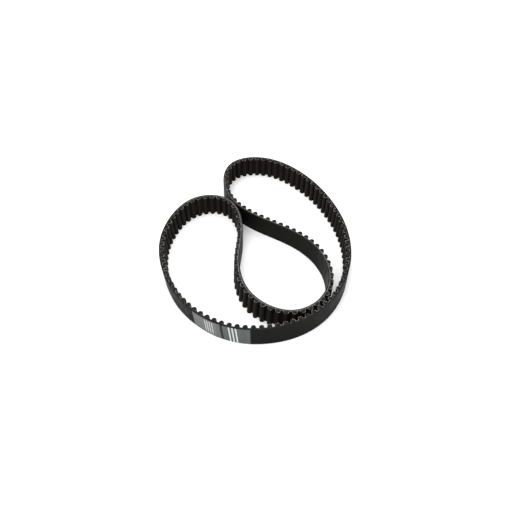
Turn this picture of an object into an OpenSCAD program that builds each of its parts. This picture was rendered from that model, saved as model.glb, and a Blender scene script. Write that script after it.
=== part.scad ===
// Synchronous (toothed) belt, standing on its cut edge in a loose folded lay.
// The belt is endless. It is cut here into stretches, so that the loop can sway on four
// upright hinge lines, as the flexible belt does. The top, pocket and lobe stretches move
// as one; the front, right, left and closing stretches each move by themselves.
// Every stretch has the same four layers, from the smooth back to the tooth side:
// backing rubber, cord ply, tooth rubber and the fabric facing.

/* [Belt] */
// Tooth pitch, measured along the pitch line
pitch = 8; // [7:0.5:14]
// Number of teeth round the belt
teeth = 140; // [120:1:240]
// Width of the belt, which is its height as it stands
belt_w = 25; // [10:1:60]

/* [Section] */
// Overall thickness, from the back to the tooth tip
total_t = 5.6; // [5.2:0.1:8]
// Height of a tooth above the land
tooth_h = 3.4; // [3.2:0.1:4]
// Width of a tooth at its straight foot, over the facing
tooth_w = 5.2; // [4:0.1:5.4]
// Radius of the hollow where a tooth meets the land
root_r = 0.5; // [0.2:0.1:0.5]
// Diameter of the tensile cord, whose middle is the pitch line
cord_d = 0.9; // [0.6:0.05:1.1]
// Thickness of the fabric facing
facing_t = 0.24; // [0.15:0.01:0.4]

/* [Lay] */
// Gap left between the two backs where the loop is pinched
neck_gap = 0.3; // [0.3:0.1:10]
// Gap left between tooth tips where the fold leans to the front wall
lean_gap = 0.5; // [0.3:0.1:10]

/* [Hinge lines] */
// Open gap at each hinge line, in the middle of a land
hinge_gap = 0.5; // [0.3:0.05:1]
// Open gap at the seam, where the last stretch comes back to the first
seam_gap = 0.3; // [0.2:0.05:0.6]

/* [Label] */
// Length of the left panel of the label
left_panel = 31; // [20:1:60]
// Width of the dark line between the panels
divider = 2.4; // [1:0.1:5]
// Length of the right panel of the label
right_panel = 27.6; // [20:0.1:60]
// Distance from the front of the lay to the label's right end
label_shift = 4.8; // [0:0.1:20]
// Thickness of the label film
film_t = 0.1; // [0.05:0.01:0.3]
// Thickness of the ink on the film
ink_t = 0.05; // [0.03:0.01:0.2]
// Adhesive line under the film, and between film and ink
bond_gap = 0.002; // [0.002:0.001:0.02]
// Bare edge left above and below the label
label_edge = 0.4; // [0.2:0.1:3]
// Width of each printed stripe
stripe_w = 1.4; // [0.8:0.1:2]
// Spacing of the printed stripes
stripe_pitch = 3.4; // [2.5:0.1:4]
// Number of printed stripes
stripes = 3; // [1:1:4]
// Distance from the divider to the first stripe
stripe_shift = 6; // [2:0.1:8]
// How far a stripe leans over the width of the belt
stripe_lean = 2; // [0:0.1:6]
// Number of plain bars printed on the left panel
bars = 4; // [1:1:6]
// Width of each plain bar
bar_w = 1.2; // [0.5:0.1:2]
// Spacing of the plain bars
bar_pitch = 2.6; // [2.2:0.1:4]
// Length of a plain bar across the belt
bar_len = 20; // [4:1:24]
// Distance from the left panel's left end to the first bar
bar_shift = 14; // [2:0.1:16]

/* [Hidden] */

// Levels across the section, measured from the pitch line, positive towards the back.
cord_level = cord_d / 2;
land_level = -(cord_level + facing_t);
back_level = total_t - tooth_h + land_level;
tip_level = land_level - tooth_h;
// Half widths of a tooth, over the facing and of the rubber inside it.
foot = tooth_w / 2;
core = foot - facing_t;
crown_level = tip_level + foot;
crown_steps = 8;
belt_len = pitch * teeth;

// The lay is a closed, uniform cubic B-spline, in millimetres for a belt of lay_len, from the
// front and anticlockwise seen from above. Its pull points come from a least-squares fit to the
// real lay, rounded to whole millimetres. The eight that have a side were then moved by hand.
// A pull point is [x, y, side of the lean, side of the neck], where a side of 1 or -1 moves
// it apart from its partner across that gap.
lay_len = 1120;
pull = [[-1, -123, 0, 0], [45.5, -108, 1, 0], [80, -76.5, 1, 0], [100, -35, 0, 0],
        [99, 13, 0, 0], [82, 58, 0, 0], [57, 94, 0, 0], [16, 126, 0, 0], [-36, 119, 0, 0],
        [-38.5, 59.5, 0, 1], [-4.5, 27.5, 0, 1], [41, 9, 0, 0], [74, -23, 0, 0],
        [83.5, -79, -1, 0], [44, -111.5, -1, 0], [-9, -85, 0, 0], [-22, -37, 0, 0],
        [-9.5, 8.5, 0, -1], [-20.5, 61.5, 0, -1], [-74, 61, 0, 0], [-100, 9, 0, 0],
        [-99, -33, 0, 0], [-81, -79, 0, 0], [-44, -112, 0, 0]];
// Directions in which the walls part at the two places where they come close.
lean_dir = [0.69, -0.72];
neck_dir = [0.71, 0.71];
// A pair of pull points carries the curve about four fifths of the way with it.
follow = 0.8;
lean_push = (-tip_level + lean_gap / 2) / follow;
neck_push = (back_level + neck_gap / 2) / follow;
grow = belt_len / lay_len;
points = [for (p = pull)
    [p[0], p[1]] * grow + lean_dir * p[2] * lean_push + neck_dir * p[3] * neck_push];
spans = len(points);
span_steps = 24;

function pick(i) = points[(i + spans) % spans];
function bend(i, f) = (pow(1 - f, 3) * pick(i - 1) + (3 * pow(f, 3) - 6 * pow(f, 2) + 4) * pick(i)
    + (-3 * pow(f, 3) + 3 * pow(f, 2) + 3 * f + 1) * pick(i + 1) + pow(f, 3) * pick(i + 2)) / 6;
function slope(i, f) = (-pow(1 - f, 2) * pick(i - 1) + (3 * pow(f, 2) - 4 * f) * pick(i)
    + (-3 * pow(f, 2) + 2 * f + 1) * pick(i + 1) + pow(f, 2) * pick(i + 2)) / 2;
function curve(t) = bend(floor(t), t - floor(t));
// Length along the curve against the curve's own parameter.
steps = spans * span_steps;
trace = [for (i = [0 : steps]) curve(i / span_steps)];
function step(i) = i < steps ? norm(trace[i + 1] - trace[i]) : 0;
run = [for (i = 0, sum = 0; i <= steps; sum = sum + step(i), i = i + 1) sum];
fit = belt_len / run[steps];
chart = [for (i = [0 : steps]) [run[i] * fit, i / span_steps]];

// Place of tooth 0 along the lay, so that a tooth stands just left of the front.
first_tooth = -1.7;
function around(s) = s - belt_len * floor(s / belt_len);
function spot(s) = let (t = lookup(around(s), chart)) [curve(t) * fit, slope(floor(t), t - floor(t))];
// The point at length s along the pitch line and at a level out from it, before centring.
function raw(s, level) = let (q = spot(s), d = q[1] / norm(q[1])) q[0] + level * [d[1], -d[0]];
hull_points = [for (s = [0 : pitch / 4 : belt_len]) raw(s, back_level)];
xs = [for (p = hull_points) p[0]];
ys = [for (p = hull_points) p[1]];
middle = [max(xs) + min(xs), max(ys) + min(ys)] / 2;
function at(s, level) = raw(s, level) - middle;

// The label ends left of the front, and its left end is label_left along the lay.
label_right = belt_len - label_shift;
label_split = label_right - right_panel;
label_left = label_split - divider - left_panel;
// Levels of the film's and of the ink's own backs.
film_level = back_level + bond_gap;
ink_level = film_level + film_t + bond_gap;

// Stretches, as [first land, last land, gap at the first, gap at the last].
// Land k is the flat between tooth k and tooth k + 1.
right_low = round(0.064 * teeth);
right_high = round(0.179 * teeth);
top_end = round(0.393 * teeth);
pocket_end = round(0.743 * teeth);
left_high = round(0.779 * teeth);
// The seam is two teeth or more beyond the label, and the closing stretch is three teeth long.
seam = floor((label_left - first_tooth) / pitch - 2.5);
left_low = seam - 3;
FRONT = [seam, teeth + right_low, seam_gap, hinge_gap];
RIGHT = [right_low, right_high, hinge_gap, hinge_gap];
TOP = [right_high, top_end, hinge_gap, 0];
POCKET = [top_end, pocket_end, 0, 0];
LOBE = [pocket_end, left_high, 0, hinge_gap];
LEFT = [left_high, left_low, hinge_gap, hinge_gap];
CLOSING = [left_low, seam, hinge_gap, seam_gap];

function tooth_at(k) = k * pitch + first_tooth;
function start_of(piece) = tooth_at(piece[0] + 0.5) + piece[2] / 2;
function end_of(piece) = tooth_at(piece[1] + 0.5) - piece[3] / 2;
// Stations that all layers share: the feet and middle of each tooth and the middle of each land.
function stations(piece) = [start_of(piece),
    for (k = [piece[0] + 1 : piece[1]]) each concat(
        [tooth_at(k) - core, tooth_at(k), tooth_at(k) + core],
        k < piece[1] ? [tooth_at(k + 0.5)] : []),
    end_of(piece)];
function line_at(list, level) = [for (s = list) at(s, level)];
function turned(list) = [for (i = [len(list) - 1 : -1 : 0]) list[i]];

// A point of tooth k in the tooth's own straight frame.
function on_tooth(k, x, level) = let (q = spot(tooth_at(k)), d = q[1] / norm(q[1]))
    q[0] - middle + x * d + level * [d[1], -d[0]];
// The round crown of tooth k, with straight flanks below it.
function crown(k, r) = [for (i = [0 : crown_steps]) let (a = 180 + 180 * i / crown_steps)
    on_tooth(k, r * cos(a), crown_level + r * sin(a))];
// One side of the hollow at the foot of tooth k: side is -1 before the tooth and 1 after it.
function hollow(k, side) = [for (a = [0, 45, 90])
    at(tooth_at(k) + side * (foot + root_r * (1 - sin(a))), land_level - root_r * (1 - cos(a)))];
function face_side(piece) = concat([at(start_of(piece), land_level)],
    [for (k = [piece[0] + 1 : piece[1]]) each concat(
        hollow(k, -1), crown(k, foot), turned(hollow(k, 1)),
        k < piece[1] ? [at(tooth_at(k + 0.5), land_level)] : [])],
    [at(end_of(piece), land_level)]);
function rubber_side(k) = concat([at(tooth_at(k) - core, -cord_level)], crown(k, core),
    [at(tooth_at(k) + core, -cord_level)]);
function facing_back(piece) = concat([at(start_of(piece), -cord_level)],
    [for (k = [piece[0] + 1 : piece[1]]) each concat(rubber_side(k),
        k < piece[1] ? [at(tooth_at(k + 0.5), -cord_level)] : [])],
    [at(end_of(piece), -cord_level)]);

module strip(list, low, high) {
    polygon(concat(line_at(list, high), turned(line_at(list, low))));
}

// Smooth outer rubber.
module backing(piece) {
    color("#302d2c")
        linear_extrude(belt_w)
            strip(stations(piece), cord_level, back_level);
}

// Glass cords wound side by side along the pitch line.
module cord_ply(piece) {
    color("#b9b49c")
        linear_extrude(belt_w)
            strip(stations(piece), -cord_level, cord_level);
}

// Rubber core of each tooth, a solid for every tooth.
module tooth_row(piece) {
    color("#1d1a19")
        linear_extrude(belt_w)
            for (k = [piece[0] + 1 : piece[1]])
                polygon(concat(rubber_side(k), [at(tooth_at(k), -cord_level)]));
}

// Woven facing, which covers teeth and lands in one skin.
module facing(piece) {
    color("#2b2827")
        linear_extrude(belt_w)
            polygon(concat(facing_back(piece), turned(face_side(piece))));
}

// The back of the front stretch is flat between stations. The label's points are taken
// from those flats, so that film and ink lie on it without a gap.
front_stations = stations(FRONT);
function on_back(s, level) = [for (axis = [0, 1])
    lookup(s, [for (q = front_stations) [q, at(q, level)[axis]]])];

module film(from, to, low, thick, edge = label_edge) {
    list = concat([from], [for (s = front_stations) if (s > from && s < to) s], [to]);
    translate([0, 0, edge])
        linear_extrude(belt_w - 2 * edge)
            polygon(concat([for (s = list) on_back(s, low + thick)],
                           turned([for (s = list) on_back(s, low)])));
}

module label_left_panel() {
    color("#8b8e8d") film(label_left, label_split - divider, film_level, film_t);
}

module label_divider() {
    color("#3a3a3a") film(label_split - divider, label_split, film_level, film_t);
}

module label_right_panel() {
    color("#797b7b") film(label_split, label_right, film_level, film_t);
}

// Slanted stripes: the ink layer, cut by leaning blades that stand square to the front.
module label_stripes() {
    first = at(label_split + stripe_shift, back_level)[0];
    reach = belt_w + total_t;
    color("#e4e6e5")
        intersection() {
            film(label_split, label_right, ink_level, ink_t);
            for (i = [0 : stripes - 1])
                translate([first + i * stripe_pitch, 0, 0])
                    rotate([90, 0, 0])
                        linear_extrude(reach + max(ys) - min(ys))
                            polygon([[0, belt_w], [stripe_w, belt_w], [stripe_w + stripe_lean, 0],
                                     [stripe_lean, 0]]);
        }
}

// Plain bars of ink in the middle of the left panel.
module label_bars() {
    color("#b4b7b6")
        for (i = [0 : bars - 1]) {
            from = label_left + bar_shift + i * bar_pitch;
            film(from, from + bar_w, ink_level, ink_t, (belt_w - bar_len) / 2);
        }
}

backing(FRONT);  // front_backing
cord_ply(FRONT);  // front_cord_ply
tooth_row(FRONT);  // front_teeth
facing(FRONT);  // front_facing
backing(RIGHT);  // right_backing
cord_ply(RIGHT);  // right_cord_ply
tooth_row(RIGHT);  // right_teeth
facing(RIGHT);  // right_facing
backing(TOP);  // top_backing
cord_ply(TOP);  // top_cord_ply
tooth_row(TOP);  // top_teeth
facing(TOP);  // top_facing
backing(POCKET);  // pocket_backing
cord_ply(POCKET);  // pocket_cord_ply
tooth_row(POCKET);  // pocket_teeth
facing(POCKET);  // pocket_facing
backing(LOBE);  // lobe_backing
cord_ply(LOBE);  // lobe_cord_ply
tooth_row(LOBE);  // lobe_teeth
facing(LOBE);  // lobe_facing
backing(LEFT);  // left_backing
cord_ply(LEFT);  // left_cord_ply
tooth_row(LEFT);  // left_teeth
facing(LEFT);  // left_facing
backing(CLOSING);  // closing_backing
cord_ply(CLOSING);  // closing_cord_ply
tooth_row(CLOSING);  // closing_teeth
facing(CLOSING);  // closing_facing
label_left_panel();
label_divider();
label_right_panel();
label_stripes();
label_bars();
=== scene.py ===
import math

import bpy
import numpy as np
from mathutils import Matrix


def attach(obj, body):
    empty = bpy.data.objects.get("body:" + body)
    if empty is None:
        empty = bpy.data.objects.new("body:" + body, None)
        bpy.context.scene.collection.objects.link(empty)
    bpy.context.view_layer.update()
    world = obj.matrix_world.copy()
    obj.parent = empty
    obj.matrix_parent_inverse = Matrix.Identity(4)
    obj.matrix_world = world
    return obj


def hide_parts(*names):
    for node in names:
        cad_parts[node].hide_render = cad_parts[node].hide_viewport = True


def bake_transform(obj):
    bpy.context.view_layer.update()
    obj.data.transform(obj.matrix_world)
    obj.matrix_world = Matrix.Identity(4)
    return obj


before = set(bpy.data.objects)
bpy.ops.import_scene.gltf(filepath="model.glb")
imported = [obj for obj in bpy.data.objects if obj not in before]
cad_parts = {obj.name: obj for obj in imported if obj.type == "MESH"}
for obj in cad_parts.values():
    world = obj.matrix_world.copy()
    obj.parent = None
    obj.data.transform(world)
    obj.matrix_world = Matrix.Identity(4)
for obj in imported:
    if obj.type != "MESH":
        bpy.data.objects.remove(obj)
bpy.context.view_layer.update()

# ---------------------------------------------------------------- camera
# The belt is seen from the label side, from well above, with a normal lens.
VIEW_HEIGHT = math.radians(49.87)
VIEW_DISTANCE = 0.7527
LENS_PER_SENSOR = 1.3444
SENSOR = 36.0
AIM = np.array([-0.0001, -0.0011, 0.0])
FRAME_DROP = -0.0098

camera = bpy.data.cameras.new("camera")
camera.sensor_width = SENSOR
camera.lens = SENSOR * LENS_PER_SENSOR
camera.shift_y = FRAME_DROP
camera_object = bpy.data.objects.new("camera", camera)
bpy.context.scene.collection.objects.link(camera_object)
camera_object.location = AIM + VIEW_DISTANCE * np.array([0.0, -math.cos(VIEW_HEIGHT), math.sin(VIEW_HEIGHT)])
camera_object.rotation_euler = (math.pi / 2 - VIEW_HEIGHT, 0.0, 0.0)
bpy.context.scene.camera = camera_object

# ---------------------------------------------------------------- the belt's lay
# A belt is one endless band. Its lay is a closed curve through its pitch line, where
# the glass cord runs and the length never changes; every layer lies beside that curve.
MM = 0.001
PITCH = 8 * MM
TEETH = 140
WIDTH = 25 * MM
CORD_R = 0.45 * MM
LAND = -0.69 * MM
BACK = 1.51 * MM
TIP = -4.09 * MM
LENGTH = PITCH * TEETH
FIRST_TOOTH = -1.7 * MM
# The gaps between tooth tips at the front contact and between backs at the neck. A pair of
# pull points carries the curve about FOLLOW of the way with it.
LEAN_GAP = 0.5 * MM
NECK_GAP = 0.3 * MM
FOLLOW = 0.8
LEAN_PUSH = (LEAN_GAP / 2 - TIP) / FOLLOW * np.array([0.69, -0.72])
NECK_PUSH = (NECK_GAP / 2 + BACK) / FOLLOW * np.array([0.71, 0.71])
# Pull points of the closed cubic B-spline, in millimetres, with their side at the lean
# and at the neck, anticlockwise from the front. They are the part's own: a least-squares
# fit to the real lay, rounded, in which the eight that have a side were moved.
PULL = np.array([
    [-1, -123, 0, 0], [45.5, -108, 1, 0], [80, -76.5, 1, 0], [100, -35, 0, 0],
    [99, 13, 0, 0], [82, 58, 0, 0], [57, 94, 0, 0], [16, 126, 0, 0], [-36, 119, 0, 0],
    [-38.5, 59.5, 0, 1], [-4.5, 27.5, 0, 1], [41, 9, 0, 0], [74, -23, 0, 0],
    [83.5, -79, -1, 0], [44, -111.5, -1, 0], [-9, -85, 0, 0], [-22, -37, 0, 0],
    [-9.5, 8.5, 0, -1], [-20.5, 61.5, 0, -1], [-74, 61, 0, 0], [-100, 9, 0, 0],
    [-99, -33, 0, 0], [-81, -79, 0, 0], [-44, -112, 0, 0]])
points = PULL[:, :2] * MM + PULL[:, 2:3] * LEAN_PUSH + PULL[:, 3:4] * NECK_PUSH
SPAN_STEPS = 24


def spline(t):
    """Point and slope of the closed uniform cubic B-spline at parameters t."""
    i = np.floor(t).astype(int)
    f = t - i
    weights = [(1 - f) ** 3, 3 * f ** 3 - 6 * f ** 2 + 4, -3 * f ** 3 + 3 * f ** 2 + 3 * f + 1, f ** 3]
    slopes = [-(1 - f) ** 2, 3 * f ** 2 - 4 * f, -3 * f ** 2 + 2 * f + 1, f ** 2]
    near = [points[(i + k - 1) % len(points)] for k in range(4)]
    place = sum(w[:, None] * p for w, p in zip(weights, near)) / 6
    slope = sum(w[:, None] * p for w, p in zip(slopes, near)) / 2
    return place, slope


grid_t = np.arange(len(points) * SPAN_STEPS + 1) / SPAN_STEPS
trace = spline(grid_t)[0]
run = np.concatenate([[0.0], np.cumsum(np.linalg.norm(np.diff(trace, axis=0), axis=1))])
fit = LENGTH / run[-1]


def lay(s):
    """Point on the pitch line at length s, and the unit directions along it and out of it."""
    place, slope = spline(np.interp(s % LENGTH, run * fit, grid_t))
    along = slope / np.linalg.norm(slope, axis=1, keepdims=True)
    return place * fit, along, np.stack([along[:, 1], -along[:, 0]], axis=1)


quarters = np.arange(0, TEETH * 4 + 1) * PITCH / 4
place, _, out = lay(quarters)
rim = place + BACK * out
middle = (rim.max(axis=0) + rim.min(axis=0)) / 2

# A loosely folded belt does not stand quite plumb. Each pair is a length along the lay and
# how far the top edge leans there over the foot, towards the back, in millimetres.
LEAN = np.array([
    [0, -0.4], [35, -1.0], [70, -0.4], [105, 0.2], [150, 1.4], [280, 1.2], [340, 0], [500, 0],
    [560, -1.8], [590, -1.4], [620, -0.4], [650, 0], [700, 2.2], [730, 1.8], [770, 0], [840, 0],
    [890, 1.8], [940, 2.2], [1000, 2.0], [1050, 1.8], [1085, 0.8]]) * MM


def lean_at(s):
    """Lean at lengths s: from one pair to the next along the smooth step 3f^2 - 2f^3."""
    knots = np.append(LEAN[:, 0], LENGTH)
    leans = np.append(LEAN[:, 1], LEAN[0, 1])
    i = np.searchsorted(knots, s % LENGTH, side="right") - 1
    f = (s % LENGTH - knots[i]) / (knots[i + 1] - knots[i])
    return leans[i] + (leans[i + 1] - leans[i]) * f * f * (3 - 2 * f)


def at(s, level):
    """Plan points at lengths s and levels out from the pitch line, as rows of x, y, lean x, lean y."""
    s = np.atleast_1d(np.asarray(s, float))
    place, _, out = lay(s)
    plan = place - middle + np.asarray(level, float).reshape(-1, 1) * out
    return np.concatenate([plan, lean_at(s)[:, None] * out], axis=1)


def raised(chain, height):
    """Points of a chain carried up to a height, where half the height stands plumb."""
    height = np.broadcast_to(height, chain.shape[:-1])[..., None]
    plan = chain[..., :2] + chain[..., 2:] * (height / WIDTH - 0.5)
    return np.concatenate([plan, height], axis=-1)


def tooth_at(k):
    """Length along the lay at the middle of tooth k; k + 0.5 is the middle of land k."""
    return np.asarray(k) * PITCH + FIRST_TOOTH


# The flexing loop: four hinge lines in lands, and the pieces between and across them.
# Land k is the flat between tooth k and tooth k + 1.
RIGHT_LOW, RIGHT_HIGH, TOP_END, POCKET_END, LEFT_HIGH, LEFT_LOW, SEAM = 9, 25, 55, 104, 109, 126, 129
REACH = 4
# Rigid stretches: name, first land, last land, body.
STRETCHES = [
    ("front", SEAM - TEETH, RIGHT_LOW - REACH, "front_wall"),
    ("right", RIGHT_LOW + REACH, RIGHT_HIGH - REACH, "right_wall"),
    ("top", RIGHT_HIGH + REACH, TOP_END, "fold"),
    ("pocket", TOP_END, POCKET_END, "fold"),
    ("left", LEFT_HIGH + REACH, LEFT_LOW - REACH, "left_wall"),
]
# Stretches that bend across a hinge: name, first land, last land, the two bodies.
BENDS = [
    ("right_low_bend", RIGHT_LOW - REACH, RIGHT_LOW + REACH, "front_wall", "right_wall"),
    ("right_high_bend", RIGHT_HIGH - REACH, RIGHT_HIGH + REACH, "right_wall", "fold"),
    ("lobe", POCKET_END, LEFT_HIGH + REACH, "fold", "left_wall"),
    ("closing", LEFT_LOW - REACH, SEAM, "left_wall", "closing_stretch"),
]


def fasten(piece, region):
    """Make a piece move with its stretch; a piece across a hinge line stays fixed, its transform baked into
    its points.
    """
    if len(region) == 4:
        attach(piece, region[3])
        return
    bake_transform(piece)


# ---------------------------------------------------------------- back rubber
# The smooth back is black chloroprene rubber, moulded on the cord and then ground to
# thickness, so it has fine marks across its width, a dull sheen and crisp cut edges.
EDGE_BREAK = 0.08 * MM
STATIONS_PER_PITCH = 24


def make_mesh(name, vertices, faces, face_kinds, uvs, materials, sharp=math.radians(35)):
    """A mesh from point, quad, material-index and corner-UV arrays, smooth below an angle."""
    mesh = bpy.data.meshes.new(name)
    mesh.vertices.add(len(vertices))
    mesh.vertices.foreach_set("co", np.asarray(vertices, np.float32).ravel())
    mesh.loops.add(faces.size)
    mesh.loops.foreach_set("vertex_index", faces.astype(np.int32).ravel())
    mesh.polygons.add(len(faces))
    mesh.polygons.foreach_set("loop_start", np.arange(len(faces), dtype=np.int32) * faces.shape[1])
    for material in materials:
        mesh.materials.append(material)
    mesh.polygons.foreach_set("material_index", np.asarray(face_kinds, np.int32))
    mesh.polygons.foreach_set("use_smooth", np.ones(len(faces), bool))
    layer = mesh.uv_layers.new(name="UVMap")
    layer.data.foreach_set("uv", uvs[faces.ravel()].astype(np.float32).ravel())
    mesh.update(calc_edges=True)
    mesh.validate()
    mesh.set_sharp_from_angle(angle=sharp)
    piece = bpy.data.objects.new(name, mesh)
    bpy.context.scene.collection.objects.link(piece)
    return piece


def band(high, low, heights, lengths, pull_in=0.0):
    """Closed band between two plan chains of equal count, carried up through the heights.

    The high chain is the one towards the belt's back. At the first and last height it is
    drawn in by pull_in, which breaks the cut edge. Returns points, quads, kinds and UVs, with
    kind 0 on the high wall, 1 on the low wall and 2 on the cut edges and ends.
    """
    n, m = len(high), len(heights)
    inward = np.pad(low[:, :2] - high[:, :2], ((0, 0), (0, 2)))
    inward = inward / np.maximum(np.linalg.norm(inward, axis=1, keepdims=True), 1e-9)
    shift = np.zeros(m)
    shift[[0, -1]] = pull_in
    walls = []
    for chain, sign in ((high, 1.0), (low, 0.0)):
        moved = chain[:, None, :] + sign * inward[:, None, :] * shift[None, :, None]
        walls.append(raised(moved, heights[None, :]).reshape(-1, 3))
    vertices = np.concatenate(walls)
    index = np.arange(n * m).reshape(n, m)
    deep = index + n * m
    a, b, c, d = index[:-1, :-1], index[1:, :-1], index[1:, 1:], index[:-1, 1:]
    quads = [np.stack([a, b, c, d], -1).reshape(-1, 4)]
    kinds = [np.zeros(a.size, int)]
    quads.append(np.stack([d, c, b, a], -1).reshape(-1, 4) + n * m)
    kinds.append(np.ones(a.size, int))
    top = np.stack([index[:-1, -1], index[1:, -1], deep[1:, -1], deep[:-1, -1]], -1)
    bottom = np.stack([index[1:, 0], index[:-1, 0], deep[:-1, 0], deep[1:, 0]], -1)
    first = np.stack([index[0, :-1], index[0, 1:], deep[0, 1:], deep[0, :-1]], -1)
    last = np.stack([index[-1, 1:], index[-1, :-1], deep[-1, :-1], deep[-1, 1:]], -1)
    for cap in (top, bottom, first, last):
        quads.append(cap)
        kinds.append(np.full(len(cap), 2))
    u = np.repeat(lengths, m)
    v = np.tile(heights, n)
    uvs = np.concatenate([np.stack([u, v], 1), np.stack([u, v], 1)])
    return vertices, np.concatenate(quads), np.concatenate(kinds), uvs


def joined(parts):
    """Several bands as one set of arrays, their quads renumbered in turn."""
    offsets = np.cumsum([0] + [len(p[0]) for p in parts[:-1]])
    return (np.concatenate([p[0] for p in parts]),
            np.concatenate([p[1] + o for p, o in zip(parts, offsets)]),
            np.concatenate([p[2] for p in parts]),
            np.concatenate([p[3] for p in parts]))


def nodes_of(name, base, roughness, gloss=0.5):
    """A new material with its Principled shader, its node maker and its linker."""
    material = bpy.data.materials.new(name)
    material.use_nodes = True
    tree = material.node_tree
    shader = tree.nodes["Principled BSDF"]
    shader.inputs["Base Color"].default_value = (*base, 1)
    shader.inputs["Roughness"].default_value = roughness
    shader.inputs["Specular IOR Level"].default_value = gloss

    def add(kind, inputs=(), **settings):
        node = tree.nodes.new(kind)
        for key, value in settings.items():
            setattr(node, key, value)
        for key, value in dict(inputs).items():
            if isinstance(value, bpy.types.NodeSocket):
                tree.links.new(value, node.inputs[key])
            else:
                node.inputs[key].default_value = value
        return node

    return material, shader, add, tree.links.new


def ramp(add, source, low, high, dark, light):
    """A colour ramp from dark at low to light at high."""
    node = add("ShaderNodeValToRGB", {"Fac": source})
    node.color_ramp.elements[0].position = low
    node.color_ramp.elements[0].color = (*dark, 1)
    node.color_ramp.elements[1].position = high
    node.color_ramp.elements[1].color = (*light, 1)
    return node


def back_rubber_material():
    """Black ground rubber: fine marks across the belt on the piece's own UV map, in metres."""
    material, shader, add, link = nodes_of("back_rubber", (0.005, 0.0048, 0.0045), 0.55, 0.05)
    uv = add("ShaderNodeTexCoord").outputs["UV"]
    across = add("ShaderNodeMapping", {"Vector": uv, "Scale": (2200, 50, 1)}).outputs["Vector"]
    marks = add("ShaderNodeTexNoise", {"Vector": across, "Scale": 1.0, "Detail": 4.0}).outputs["Fac"]
    broad = add("ShaderNodeMapping", {"Vector": uv, "Scale": (90, 45, 1)}).outputs["Vector"]
    cloud = add("ShaderNodeTexNoise", {"Vector": broad, "Scale": 1.0, "Detail": 5.0}).outputs["Fac"]
    worn = add("ShaderNodeMath", {0: marks, 1: cloud}, operation="MULTIPLY").outputs["Value"]
    tone = ramp(add, worn, 0.14, 0.42, (0.0019, 0.0018, 0.0016), (0.0070, 0.0067, 0.0062)).outputs["Color"]
    link(tone, shader.inputs["Base Color"])
    dull = add("ShaderNodeMapRange", {"Value": worn, "From Min": 0.15, "From Max": 0.4,
                                      "To Min": 0.45, "To Max": 0.68}).outputs["Result"]
    link(dull, shader.inputs["Roughness"])
    bump = add("ShaderNodeBump", {"Height": marks, "Strength": 0.6, "Distance": 0.06 * MM})
    link(bump.outputs["Normal"], shader.inputs["Normal"])
    return material


def cut_edge_material():
    """Knife-cut rubber: dull, rough and flecked with the light ends of filler fibres."""
    material, shader, add, link = nodes_of("cut_edge", (0.012, 0.011, 0.0105), 0.8, 0.05)
    place = add("ShaderNodeTexCoord").outputs["Object"]
    cells = add("ShaderNodeTexVoronoi", {"Vector": place, "Scale": 1400.0, "Randomness": 1.0})
    fleck = add("ShaderNodeTexNoise", {"Vector": place, "Scale": 900.0, "Detail": 4.0, "Roughness": 0.7})
    tone = ramp(add, fleck.outputs["Fac"], 0.48, 0.68, (0.007, 0.0064, 0.0059), (0.042, 0.041, 0.039))
    link(tone.outputs["Color"], shader.inputs["Base Color"])
    bump = add("ShaderNodeBump", {"Height": cells.outputs["Distance"], "Strength": 0.6, "Distance": 0.1 * MM})
    link(bump.outputs["Normal"], shader.inputs["Normal"])
    return material


# The last stretch stops this far short of the first, so that they stay apart as it flexes.
SEAM_GAP = 0.12 * MM


def last_length(last):
    """Length at the middle of a stretch's last land, less the gap at the seam."""
    return tooth_at(last + 0.5) - (SEAM_GAP if last == SEAM else 0.0)


def land_to_land(first, last, per_pitch):
    """Lengths along the lay from one land's middle to another's, evenly spaced."""
    count = (last - first) * per_pitch
    return np.linspace(tooth_at(first + 0.5), last_length(last), count + 1)


def replace_layer(stretch, layer):
    """Let a piece stand for its stretch's CAD node; the two plain bends have none of their own."""
    if stretch not in ("right_low_bend", "right_high_bend"):
        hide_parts(f"{stretch}_{layer}")


back_rubber = back_rubber_material()
cut_edge = cut_edge_material()
heights = np.array([0.0, EDGE_BREAK, 0.5 * WIDTH, WIDTH - EDGE_BREAK, WIDTH])
plain_heights = np.array([0.0, 0.5 * WIDTH, WIDTH])
for region in STRETCHES + BENDS:
    name, first, last = region[:3]
    s = land_to_land(first, last, STATIONS_PER_PITCH)
    piece = make_mesh(name + "_back_rubber",
                      *band(at(s, BACK), at(s, -CORD_R), heights, s, EDGE_BREAK),
                      [back_rubber, cut_edge, cut_edge])
    replace_layer(name, "backing")
    fasten(piece, region)

# ---------------------------------------------------------------- glass cord
# One twisted glass-fibre cord is wound round the belt as a flat helix, a turn every
# 1.5 mm of width. The knife that slits the belt to width shaves the outermost turns.
CORD_PITCH = 1.5 * MM
CORD_SHAVED_AT = 640 * MM
CORD_SIDES = 8
CORD_STATIONS = 6
# A turn is drawn where its middle lies inside the cut, or outside it by this share of its radius.
CORD_SHAVED = 0.8
PROUD = 0.02 * MM


def glass_cord_material():
    """Pale twisted glass fibre, dipped in dark latex that shows between the fibres."""
    material, shader, add, link = nodes_of("glass_cord", (0.3, 0.3, 0.28), 0.6)
    uv = add("ShaderNodeTexCoord").outputs["UV"]
    slant = add("ShaderNodeMapping", {"Vector": uv, "Scale": (900, 900, 1), "Rotation": (0, 0, 0.5)})
    wave = add("ShaderNodeTexWave", {"Vector": slant.outputs["Vector"], "Scale": 1.0, "Distortion": 1.0})
    noise = add("ShaderNodeTexNoise", {"Vector": uv, "Scale": 220.0, "Detail": 3.0})
    mix = add("ShaderNodeMath", {0: wave.outputs["Fac"], 1: noise.outputs["Fac"]}, operation="MULTIPLY")
    tone = ramp(add, mix.outputs["Value"], 0.2, 0.5, (0.012, 0.0115, 0.011), (0.12, 0.118, 0.11))
    link(tone.outputs["Color"], shader.inputs["Base Color"])
    return material


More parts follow.
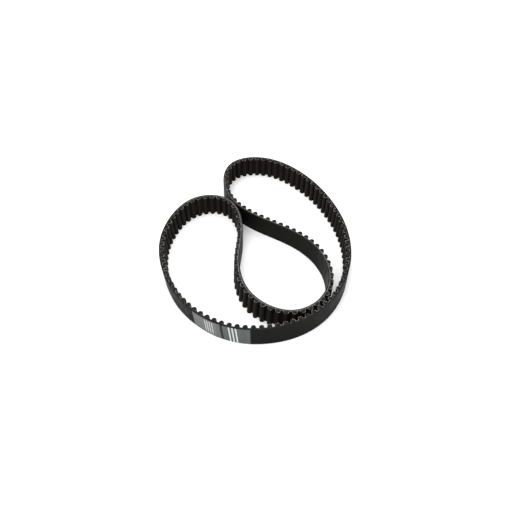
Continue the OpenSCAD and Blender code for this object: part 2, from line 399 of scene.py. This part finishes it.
def cord_rise(s, turn):
    """Height of one turn of the helix at length s; a turn is shaved where this meets an edge."""
    return WIDTH + CORD_PITCH * (turn + (s - CORD_SHAVED_AT) / LENGTH)


def cord_turn(s, turn):
    """Tube round one turn of the helix: height grows with length, cut flush at both edges."""
    rise = cord_rise(s, turn)
    around = 2 * np.pi * np.arange(CORD_SIDES) / CORD_SIDES
    level = CORD_R * np.cos(around)
    n, m = len(s), CORD_SIDES
    plan = at(np.repeat(s, m), np.tile(level, n)).reshape(n, m, 4)
    height = rise[:, None] + CORD_R * np.sin(around)[None, :]
    height = np.clip(height, -PROUD, WIDTH + PROUD)
    ring = raised(plan, height).reshape(-1, 3)
    index = np.arange(n * m).reshape(n, m)
    right = np.roll(index, -1, axis=1)
    quads = np.stack([index[:-1], index[1:], right[1:], right[:-1]], -1).reshape(-1, 4)
    uvs = np.stack([np.repeat(s, m), np.tile(CORD_R * around, n)], 1)
    half = m // 2
    caps = []
    for end, flip in ((0, False), (n - 1, True)):
        row = index[end]
        strip = np.array([[row[i], row[i + 1], row[m - 2 - i], row[m - 1 - i]] for i in range(half - 1)])
        caps.append(strip[:, ::-1] if flip else strip)
    faces = np.concatenate([quads] + caps)
    return ring, faces, np.zeros(len(faces), int), uvs


glass_cord = glass_cord_material()
for region in STRETCHES + BENDS:
    name, first, last = region[:3]
    s = land_to_land(first, last, CORD_STATIONS)
    turns = range(-int(WIDTH / CORD_PITCH) - 2, 3)
    inside = []
    for turn in turns:
        rise = cord_rise(s, turn)
        kept = (rise > -CORD_R * CORD_SHAVED) & (rise < WIDTH + CORD_R * CORD_SHAVED)
        if kept.sum() >= 2:
            inside.append(cord_turn(s[kept], turn))
    piece = make_mesh(name + "_glass_cord", *joined(inside), [glass_cord])
    replace_layer(name, "cord_ply")
    fasten(piece, region)

# ---------------------------------------------------------------- tooth rubber
# The teeth are the same rubber, pressed through the cord into the mould's grooves. Only
# their cut ends show, since the facing covers their sides.
FOOT = 2.6 * MM
FACING = 0.24 * MM
CORE = FOOT - FACING
CROWN = TIP + FOOT
CROWN_STEPS = 16


def on_tooth(k, x, level):
    """Plan points in tooth k's straight frame: x along the belt, level out from the pitch line."""
    place, along, out = lay(np.atleast_1d(tooth_at(k)))
    x, level = np.broadcast_arrays(np.asarray(x, float), np.asarray(level, float))
    plan = place - middle + x.reshape(-1, 1) * along + level.reshape(-1, 1) * out
    return np.concatenate([plan, lean_at(tooth_at(k) + x)[:, None] * out], axis=1)


def crown(k, r):
    """Half circle of radius r round tooth k's crown centre, from its first flank to its last."""
    a = np.pi + np.pi * np.arange(CROWN_STEPS + 1) / CROWN_STEPS
    return on_tooth(k, r * np.cos(a), CROWN + r * np.sin(a))


def tooth_core(k):
    """One tooth's rubber: the crown against the straight line of the cords under it."""
    s = tooth_at(k)
    across = -CORE * np.cos(np.pi * np.arange(CROWN_STEPS + 3) / (CROWN_STEPS + 2))
    base = at(s + across, -CORD_R)
    shape = np.concatenate([base[:1], crown(k, CORE), base[-1:]])
    return band(base, shape, plain_heights, s + across)


for region in STRETCHES + BENDS:
    name, first, last = region[:3]
    cores = [tooth_core(k) for k in range(first + 1, last + 1)]
    piece = make_mesh(name + "_tooth_rubber", *joined(cores), [cut_edge, cut_edge, cut_edge])
    replace_layer(name, "teeth")
    fasten(piece, region)

# ---------------------------------------------------------------- facing
# A stretch nylon fabric, woven and dipped black, is moulded over teeth and lands as one
# skin. Its cut edge is paler than the rubber, which draws the outline of every tooth.
ROOT = 0.5 * MM
ROOT_STEPS = 4
# The wave texture makes a thread every 0.314 / THREADS metres; the threads lie on the bias.
THREADS = 620.0
THREAD_TURN = math.radians(35)
LAND_STEPS = 3


def facing_material():
    """Black woven nylon: threads along and across the belt on the UV map, in metres."""
    material, shader, add, link = nodes_of("facing", (0.006, 0.005, 0.0042), 0.6, 0.05)
    uv = add("ShaderNodeTexCoord").outputs["UV"]
    threads = []
    for turn in (THREAD_TURN, THREAD_TURN + math.pi / 2):
        place = add("ShaderNodeMapping", {"Vector": uv, "Rotation": (0, 0, turn)}).outputs["Vector"]
        wave = add("ShaderNodeTexWave", {"Vector": place, "Scale": THREADS, "Distortion": 0.6})
        threads.append(wave.outputs["Fac"])
    weave = add("ShaderNodeMath", {0: threads[0], 1: threads[1]}, operation="MULTIPLY").outputs["Value"]
    stretch = add("ShaderNodeMapping", {"Vector": uv, "Scale": (420, 12, 1)}).outputs["Vector"]
    streak = add("ShaderNodeTexNoise", {"Vector": stretch, "Scale": 1.0, "Detail": 3.0}).outputs["Fac"]
    worn = add("ShaderNodeMath", {0: weave, 1: 0.7, 2: streak}, operation="MULTIPLY_ADD").outputs["Value"]
    tone = ramp(add, worn, 0.35, 1.15, (0.003, 0.0022, 0.0017), (0.0165, 0.0135, 0.0112))
    link(tone.outputs["Color"], shader.inputs["Base Color"])
    bump = add("ShaderNodeBump", {"Height": weave, "Strength": 0.8, "Distance": 0.08 * MM})
    link(bump.outputs["Normal"], shader.inputs["Normal"])
    return material


def facing_edge_material():
    """The fabric's cut edge: pale broken thread ends."""
    material, shader, add, link = nodes_of("facing_edge", (0.2, 0.2, 0.19), 0.85, 0.2)
    place = add("ShaderNodeTexCoord").outputs["Object"]
    thread = add("ShaderNodeTexNoise", {"Vector": place, "Scale": 550.0, "Detail": 3.0})
    tone = ramp(add, thread.outputs["Fac"], 0.42, 0.6, (0.016, 0.0152, 0.0145), (0.3, 0.296, 0.285))
    link(tone.outputs["Color"], shader.inputs["Base Color"])
    return material


def facing_chains(first, last):
    """The fabric's two faces in plan, point for point: the cord side and the outer side.

    Outer side: land, hollow as a quarter circle, half circle over the crown, hollow, land.
    Cord side: land, then up the tooth core's flank, over its crown and down again.
    """
    quarter = np.pi / 2 * np.arange(ROOT_STEPS + 1) / ROOT_STEPS
    spread = FOOT + ROOT * (1 - np.sin(quarter))
    drop = LAND - ROOT * (1 - np.cos(quarter))
    inner_x = np.interp(quarter, [0, np.pi / 4, np.pi / 2], [FOOT + ROOT, CORE, CORE])
    inner_level = np.interp(quarter, [0, np.pi / 4, np.pi / 2], [-CORD_R, -CORD_R, LAND])
    ends = np.array([tooth_at(first + 0.5), last_length(last)])
    outer, inner = [at(ends[:1], LAND)], [at(ends[:1], -CORD_R)]
    for k in range(first + 1, last + 1):
        s = tooth_at(k)
        outer += [at(s - spread, drop), crown(k, FOOT), at(s + spread[::-1], drop[::-1])]
        inner += [at(s - inner_x, inner_level), crown(k, CORE),
                  at(s + inner_x[::-1], inner_level[::-1])]
        if k < last:
            flat = np.linspace(s + FOOT + ROOT, s + PITCH - FOOT - ROOT, LAND_STEPS + 2)[1:-1]
            outer.append(at(flat, LAND))
            inner.append(at(flat, -CORD_R))
    outer.append(at(ends[1:], LAND))
    inner.append(at(ends[1:], -CORD_R))
    return np.concatenate(inner), np.concatenate(outer)


facing = facing_material()
facing_edge = facing_edge_material()
for region in STRETCHES + BENDS:
    name, first, last = region[:3]
    inner, outer = facing_chains(first, last)
    steps = np.linalg.norm(np.diff(outer, axis=0), axis=1)
    lengths = tooth_at(first + 0.5) + np.concatenate([[0.0], np.cumsum(steps)])
    piece = make_mesh(name + "_fabric", *band(inner, outer, plain_heights, lengths),
                      [facing, facing, facing_edge])
    replace_layer(name, "facing")
    fasten(piece, region)

# ---------------------------------------------------------------- label
# A printed film is bonded to the back at the front: two grey panels with a dark line
# between them, leaning white stripes on the right one and plain bars on the left one.
FILM = 0.1 * MM
INK = 0.05 * MM
LABEL_EDGE = 0.4 * MM
LABEL_RIGHT = -4.8 * MM
RIGHT_PANEL = 27.6 * MM
DIVIDER = 2.4 * MM
LEFT_PANEL = 31 * MM
LABEL_SPLIT = LABEL_RIGHT - RIGHT_PANEL
LABEL_LEFT = LABEL_SPLIT - DIVIDER - LEFT_PANEL


def film(name, start, stop, low, high, level, thick, material, lean=(0.0, 0.0), steps=48, rows=13):
    """A thin sheet on the back between lengths start and stop and heights low and high.

    Its face is a grid of length and height. Each end leans towards its foot by its own lean,
    with an even change between them.
    """
    across = np.linspace(0, 1, rows)
    z = low + (high - low) * across
    s = np.linspace(start, stop, steps + 1)
    slant = np.linspace(lean[0], lean[1], steps + 1)
    grid_s = s[:, None] + slant[:, None] * (1 - z / WIDTH)[None, :]
    grid_z = np.broadcast_to(z[None, :], grid_s.shape)
    n, m = grid_s.shape
    parts = []
    for height in (level + thick, level):
        parts.append(raised(at(grid_s.ravel(), height), grid_z.ravel()))
    index = np.arange(n * m).reshape(n, m)
    under = index + n * m
    face = np.stack([index[:-1, :-1], index[1:, :-1], index[1:, 1:], index[:-1, 1:]], -1).reshape(-1, 4)
    loop = np.concatenate([index[:, 0], index[-1, 1:], index[-2::-1, -1], index[0, -2:0:-1]])
    deep = np.concatenate([under[:, 0], under[-1, 1:], under[-2::-1, -1], under[0, -2:0:-1]])
    rim = np.stack([deep, np.roll(deep, -1), np.roll(loop, -1), loop], -1)
    faces = np.concatenate([face, face[:, ::-1] + n * m, rim])
    uvs = np.tile(np.stack([grid_s.ravel() - start, grid_z.ravel()], 1), (2, 1))
    piece = make_mesh(name, np.concatenate(parts), faces, np.zeros(len(faces), int), uvs, [material])
    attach(piece, "front_wall")
    return piece


def print_material(name, dark, light, roughness, gloss, grain=(700, 25, 1)):
    """Printed film: its tone is uneven, in marks of the grain's counts per metre along and across."""
    material, shader, add, link = nodes_of(name, light, roughness, gloss)
    uv = add("ShaderNodeTexCoord").outputs["UV"]
    across = add("ShaderNodeMapping", {"Vector": uv, "Scale": grain}).outputs["Vector"]
    streak = add("ShaderNodeTexNoise", {"Vector": across, "Scale": 1.0, "Detail": 4.0}).outputs["Fac"]
    tone = ramp(add, streak, 0.3, 0.7, dark, light)
    link(tone.outputs["Color"], shader.inputs["Base Color"])
    return material


LEFT_LEAN, SPLIT_LEAN, RIGHT_LEAN = 0.7 * MM, 1.5 * MM, 0.5 * MM
panel_low, panel_high = LABEL_EDGE, WIDTH - LABEL_EDGE
light_print = print_material("label_light", (0.062, 0.0648, 0.0652), (0.132, 0.136, 0.137), 0.5, 0.25)
grey_print = print_material("label_grey", (0.056, 0.0600, 0.0608), (0.072, 0.0768, 0.0776), 0.5, 0.25)
dark_print = print_material("label_dark", (0.004, 0.004, 0.004), (0.008, 0.008, 0.008), 0.5, 0.1)
ink_print = print_material("label_ink", (0.45, 0.46, 0.46), (0.6, 0.61, 0.61), 0.5, 0.3)
bar_print = print_material("label_faint_ink", (0.12, 0.123, 0.123), (0.62, 0.625, 0.62), 0.5, 0.25,
                           grain=(300, 900, 1))

left_panel = film("label_left_panel_print", LABEL_LEFT, LABEL_SPLIT - DIVIDER, panel_low, panel_high,
                  BACK, FILM, light_print, lean=(LEFT_LEAN, SPLIT_LEAN))
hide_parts("label_left_panel")
divider = film("label_divider_print", LABEL_SPLIT - DIVIDER, LABEL_SPLIT, panel_low, panel_high,
               BACK, FILM, dark_print, lean=(SPLIT_LEAN, SPLIT_LEAN), steps=6)
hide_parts("label_divider")
right_panel = film("label_right_panel_print", LABEL_SPLIT, LABEL_RIGHT, panel_low, panel_high,
                   BACK, FILM, grey_print, lean=(SPLIT_LEAN, RIGHT_LEAN))
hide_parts("label_right_panel")

STRIPES = 3
STRIPE_SHIFT, STRIPE_WIDTH, STRIPE_PITCH = 6 * MM, 1.4 * MM, 3.4 * MM
STRIPE_LEAN = 2 * MM
for i in range(STRIPES):
    start = LABEL_SPLIT + STRIPE_SHIFT + i * STRIPE_PITCH
    stripe = film(f"label_stripe_{i}", start, start + STRIPE_WIDTH, panel_low, panel_high,
                  BACK + FILM, INK, ink_print, lean=(STRIPE_LEAN, STRIPE_LEAN), steps=4)
    if i == 0:
        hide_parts("label_stripes")

BARS = 4
BAR_SHIFT, BAR_WIDTH, BAR_PITCH = 14 * MM, 1.2 * MM, 2.6 * MM
BAR_LENGTH = 20 * MM
BAR_LEAN = 1.2 * MM
for i in range(BARS):
    start = LABEL_LEFT + BAR_SHIFT + i * BAR_PITCH
    bar = film(f"label_bar_{i}", start, start + BAR_WIDTH, (WIDTH - BAR_LENGTH) / 2,
               (WIDTH + BAR_LENGTH) / 2, BACK + FILM, INK, bar_print, lean=(BAR_LEAN, BAR_LEAN), steps=4)
    if i == 0:
        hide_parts("label_bars")

# ---------------------------------------------------------------- floor and light
# A pale seamless table under broad soft lights, as for a catalogue picture.
FLOOR_HALF = 3.0
floor_mesh = bpy.data.meshes.new("floor")
corners = [(-FLOOR_HALF, -FLOOR_HALF, 0), (FLOOR_HALF, -FLOOR_HALF, 0), (FLOOR_HALF, FLOOR_HALF, 0),
           (-FLOOR_HALF, FLOOR_HALF, 0)]
floor_mesh.from_pydata(corners, [], [(0, 1, 2, 3)])
floor = bpy.data.objects.new("floor", floor_mesh)
bpy.context.scene.collection.objects.link(floor)
floor_material, floor_shader, _, _ = nodes_of("floor", (0.93, 0.93, 0.93), 0.9)
floor_mesh.materials.append(floor_material)


def soft_light(name, place, size, power):
    """A square area light that faces the middle of the belt."""
    light = bpy.data.lights.new(name, "AREA")
    light.size = size
    light.energy = power
    lamp = bpy.data.objects.new(name, light)
    bpy.context.scene.collection.objects.link(lamp)
    lamp.location = place
    aim = -np.asarray(place, float)
    aim /= np.linalg.norm(aim)
    lamp.rotation_euler = (math.acos(-aim[2]), 0.0, math.atan2(aim[1], aim[0]) - math.pi / 2)


soft_light("key", (-0.5, -0.5, 1.6), 1.6, 24)
soft_light("rear", (0.3, 1.0, 1.6), 1.6, 18)
bpy.context.scene.view_settings.view_transform = "Standard"
world = bpy.data.worlds.new("world")
world.use_nodes = True
world.node_tree.nodes["Background"].inputs["Color"].default_value = (1, 1, 1, 1)
world.node_tree.nodes["Background"].inputs["Strength"].default_value = 1.0
bpy.context.scene.world = world
